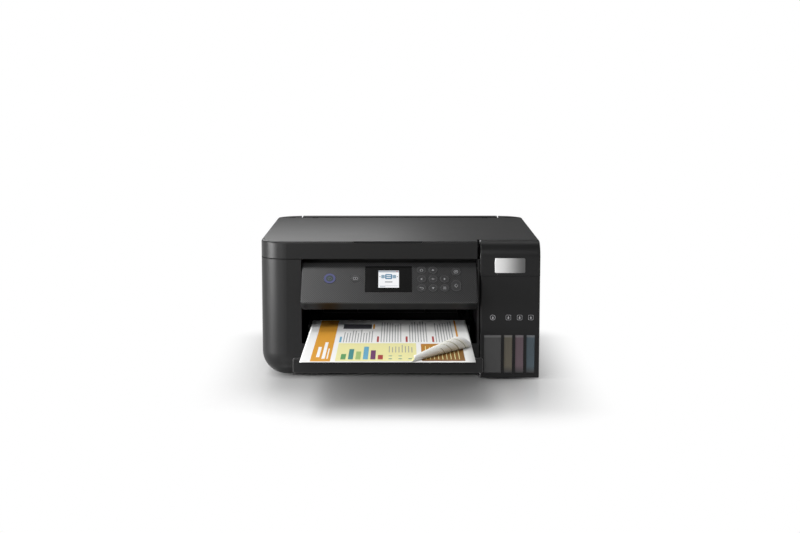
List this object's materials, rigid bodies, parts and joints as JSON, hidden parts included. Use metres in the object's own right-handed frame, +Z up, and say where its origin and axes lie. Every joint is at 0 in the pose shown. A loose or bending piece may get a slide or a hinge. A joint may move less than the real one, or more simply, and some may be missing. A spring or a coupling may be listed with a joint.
{
  "type": "ink tank printer",
  "caption": "Black desktop ink tank printer with a flat-bed scanner on top, a tilting control panel, a pull-out output tray and refillable tanks with front windows.",
  "frame": {"origin": "middle of the bounding box on the table, with the output tray pulled out and a printed sheet on it", "axes": "+Z up, -Y out of the front towards the user, +X to the right as seen from the front"},
  "size_m": [0.375, 0.5784, 0.187],
  "materials": {
    "case_plastic": "fine satin texture",
    "cover_plastic": "fine grained satin",
    "panel_plastic": "patterned satin",
    "display_black": "gloss",
    "key_plastic": "satin",
    "tray_plastic": "satin",
    "inner_plastic": "plain moulded",
    "glass_clear": "clear",
    "mat_white": "white foil on foam",
    "paper_white": "plain office paper with a printed page",
    "rubber_black": "matte",
    "roller_grey": "ground rubber",
    "steel_sheet": "zinc plated sheet",
    "steel_shaft": "turned steel",
    "gear_white": "natural acetal",
    "head_metal": "polished nozzle plate",
    "tank_black_slot": "translucent",
    "tank_colour_slot": "translucent",
    "cap_colours": "satin, one colour per ink",
    "socket_black": "plain",
    "supply_metal": "painted case",
    "board_green": "solder mask"
  },
  "bodies": {
    "housing": {"lower_case": "case_plastic", "rubber_feet": "rubber_black", "tank_housing": "case_plastic", "ink_tank_black": "tank_black_slot", "colour_ink_tanks": "tank_colour_slot", "tray_rails": "inner_plastic", "rear_deck": "case_plastic", "rear_feeder": "inner_plastic", "power_inlet": "socket_black", "chassis_frame": "steel_sheet", "platen": "inner_plastic", "cap_station": "inner_plastic", "feed_motor": "steel_shaft", "timing_belt": "rubber_black", "carriage_motor": "steel_shaft", "power_supply": "supply_metal", "main_board": "board_green"},
    "scanner_unit": {"scanner_frame": "cover_plastic", "scanner_tub": "inner_plastic", "scanner_glass": "glass_clear", "scan_rail": "steel_shaft", "tank_shroud": "cover_plastic"},
    "scan_head": {"scan_bar": "inner_plastic"},
    "cover": {"document_cover": "cover_plastic", "document_mat": "mat_white"},
    "panel": {"panel_fascia": "panel_plastic", "panel_back": "case_plastic", "display_window": "display_black"},
    "tray": {"output_tray": "case_plastic"},
    "tray_leaf": {"tray_extension": "tray_plastic", "printed_sheet": "paper_white"},
    "support": {"paper_support": "case_plastic"},
    "guide_left": {"edge_guide_left": "inner_plastic"},
    "guide_right": {"edge_guide_right": "inner_plastic"},
    "rear_access": {"rear_cover": "case_plastic"},
    "feed_shaft": {"feed_roller": "roller_grey"},
    "exit_shaft": {"exit_roller": "roller_grey"},
    "idler_wheel": {"idler_gear": "gear_white"},
    "pinion": {"motor_pinion": "gear_white"},
    "pick_shaft": {"pick_roller": "roller_grey"},
    "carriage_unit": {"carriage": "inner_plastic", "print_head": "head_metal"},
    "drive_wheel": {"drive_pulley": "gear_white"},
    "belt_idler": {"idler_pulley": "gear_white"},
    "power_button_body": {"power_button": "key_plastic"},
    "help_key_body": {"help_key": "key_plastic"},
    "stop_key_body": {"stop_key": "key_plastic"},
    "home_key_body": {"home_key": "key_plastic"},
    "up_key_body": {"up_key": "key_plastic"},
    "left_key_body": {"left_key": "key_plastic"},
    "select_key_body": {"select_key": "key_plastic"},
    "right_key_body": {"right_key": "key_plastic"},
    "back_key_body": {"back_key": "key_plastic"},
    "down_key_body": {"down_key": "key_plastic"},
    "options_key_body": {"options_key": "key_plastic"},
    "start_key_body": {"start_key": "key_plastic"},
    "black_tank_cap_body": {"black_tank_cap": "cap_colours"},
    "yellow_tank_cap_body": {"yellow_tank_cap": "cap_colours"},
    "magenta_tank_cap_body": {"magenta_tank_cap": "cap_colours"},
    "cyan_tank_cap_body": {"cyan_tank_cap": "cap_colours"}
  },
  "joints": [
    {"name": "scanner_lift", "type": "hinge", "parent": "housing", "child": "scanner_unit", "pos_m": [0, 0.26125, 0.1812], "axis": [-1, 0, 0], "range_deg": [0, 30]},
    {"name": "cover_lift", "type": "hinge", "parent": "scanner_unit", "child": "cover", "pos_m": [0, 0.25425, 0.1835], "axis": [-1, 0, 0], "range_deg": [0, 70]},
    {"name": "panel_fold", "type": "hinge", "parent": "housing", "child": "panel", "pos_m": [0, -0.05305, 0.1495], "axis": [1, 0, 0], "range_deg": [0, 42]},
    {"name": "power_button_press", "type": "slide", "parent": "panel", "child": "power_button_body", "axis": [0, 0.7431, -0.6691], "range_m": [0, 0.0008], "stiffness_N_per_m": 800},
    {"name": "help_key_press", "type": "slide", "parent": "panel", "child": "help_key_body", "axis": [0, 0.7431, -0.6691], "range_m": [0, 0.0008], "stiffness_N_per_m": 800},
    {"name": "stop_key_press", "type": "slide", "parent": "panel", "child": "stop_key_body", "axis": [0, 0.7431, -0.6691], "range_m": [0, 0.0008], "stiffness_N_per_m": 800},
    {"name": "home_key_press", "type": "slide", "parent": "panel", "child": "home_key_body", "axis": [0, 0.7431, -0.6691], "range_m": [0, 0.0008], "stiffness_N_per_m": 800},
    {"name": "up_key_press", "type": "slide", "parent": "panel", "child": "up_key_body", "axis": [0, 0.7431, -0.6691], "range_m": [0, 0.0008], "stiffness_N_per_m": 800},
    {"name": "left_key_press", "type": "slide", "parent": "panel", "child": "left_key_body", "axis": [0, 0.7431, -0.6691], "range_m": [0, 0.0008], "stiffness_N_per_m": 800},
    {"name": "select_key_press", "type": "slide", "parent": "panel", "child": "select_key_body", "axis": [0, 0.7431, -0.6691], "range_m": [0, 0.0008], "stiffness_N_per_m": 800},
    {"name": "right_key_press", "type": "slide", "parent": "panel", "child": "right_key_body", "axis": [0, 0.7431, -0.6691], "range_m": [0, 0.0008], "stiffness_N_per_m": 800},
    {"name": "back_key_press", "type": "slide", "parent": "panel", "child": "back_key_body", "axis": [0, 0.7431, -0.6691], "range_m": [0, 0.0008], "stiffness_N_per_m": 800},
    {"name": "down_key_press", "type": "slide", "parent": "panel", "child": "down_key_body", "axis": [0, 0.7431, -0.6691], "range_m": [0, 0.0008], "stiffness_N_per_m": 800},
    {"name": "options_key_press", "type": "slide", "parent": "panel", "child": "options_key_body", "axis": [0, 0.7431, -0.6691], "range_m": [0, 0.0008], "stiffness_N_per_m": 800},
    {"name": "start_key_press", "type": "slide", "parent": "panel", "child": "start_key_body", "axis": [0, 0.7431, -0.6691], "range_m": [0, 0.0008], "stiffness_N_per_m": 800},
    {"name": "tray_slide", "type": "slide", "parent": "housing", "child": "tray", "axis": [0, 1, 0], "range_m": [0, 0.104]},
    {"name": "leaf_slide", "type": "slide", "parent": "tray", "child": "tray_leaf", "axis": [0, 1, 0], "range_m": [0, 0.104]},
    {"name": "support_slide", "type": "slide", "parent": "housing", "child": "support", "axis": [0, 0.5, 0.866], "range_m": [0, 0.075]},
    {"name": "guide_left_slide", "type": "slide", "parent": "housing", "child": "guide_left", "axis": [1, 0, 0], "range_m": [0, 0.05]},
    {"name": "guide_right_slide", "type": "slide", "parent": "housing", "child": "guide_right", "axis": [1, 0, 0], "range_m": [-0.05, 0]},
    {"name": "rear_cover_pull", "type": "slide", "parent": "housing", "child": "rear_access", "axis": [0, 1, 0], "range_m": [0, 0.06]},
    {"name": "feed_spin", "type": "hinge", "parent": "housing", "child": "feed_shaft", "pos_m": [0, 0.14725, 0.084], "axis": [1, 0, 0], "continuous": true},
    {"name": "exit_spin", "type": "hinge", "parent": "housing", "child": "exit_shaft", "pos_m": [0, 0.08225, 0.084], "axis": [1, 0, 0], "continuous": true},
    {"name": "idler_spin", "type": "hinge", "parent": "housing", "child": "idler_wheel", "pos_m": [0, 0.11475, 0.084], "axis": [1, 0, 0], "continuous": true},
    {"name": "pinion_spin", "type": "hinge", "parent": "housing", "child": "pinion", "pos_m": [0, 0.16589, 0.06178], "axis": [1, 0, 0], "continuous": true},
    {"name": "pick_spin", "type": "hinge", "parent": "housing", "child": "pick_shaft", "pos_m": [0, 0.2243, 0.12487], "axis": [1, 0, 0], "continuous": true},
    {"name": "carriage_slide", "type": "slide", "parent": "housing", "child": "carriage_unit", "axis": [1, 0, 0], "range_m": [-0.215, 0]},
    {"name": "drive_spin", "type": "hinge", "parent": "housing", "child": "drive_wheel", "pos_m": [-0.14, 0.14875, 0.121], "axis": [0, 1, 0], "continuous": true},
    {"name": "belt_idler_spin", "type": "hinge", "parent": "housing", "child": "belt_idler", "pos_m": [0.145, 0.14875, 0.121], "axis": [0, 1, 0], "continuous": true},
    {"name": "scan_slide", "type": "slide", "parent": "scanner_unit", "child": "scan_head", "axis": [1, 0, 0], "range_m": [0, 0.28]},
    {"name": "black_tank_cap_lift", "type": "hinge", "parent": "housing", "child": "black_tank_cap_body", "pos_m": [0.1243, 0.01725, 0.119], "axis": [-1, 0, 0], "range_deg": [0, 95]},
    {"name": "yellow_tank_cap_lift", "type": "hinge", "parent": "housing", "child": "yellow_tank_cap_body", "pos_m": [0.14527, 0.01725, 0.119], "axis": [-1, 0, 0], "range_deg": [0, 95]},
    {"name": "magenta_tank_cap_lift", "type": "hinge", "parent": "housing", "child": "magenta_tank_cap_body", "pos_m": [0.1603, 0.01725, 0.119], "axis": [-1, 0, 0], "range_deg": [0, 95]},
    {"name": "cyan_tank_cap_lift", "type": "hinge", "parent": "housing", "child": "cyan_tank_cap_body", "pos_m": [0.17533, 0.01725, 0.119], "axis": [-1, 0, 0], "range_deg": [0, 95]}
  ],
  "couplings": [
    {"joint": "exit_spin", "follows": "feed_spin", "ratio": 1},
    {"joint": "idler_spin", "follows": "feed_spin", "ratio": -1.6},
    {"joint": "pinion_spin", "follows": "feed_spin", "ratio": -2.2222},
    {"joint": "guide_right_slide", "follows": "guide_left_slide", "ratio": -1},
    {"joint": "drive_spin", "follows": "carriage_slide", "rad_per_m": -163.93},
    {"joint": "belt_idler_spin", "follows": "carriage_slide", "rad_per_m": -163.93}
  ]
}
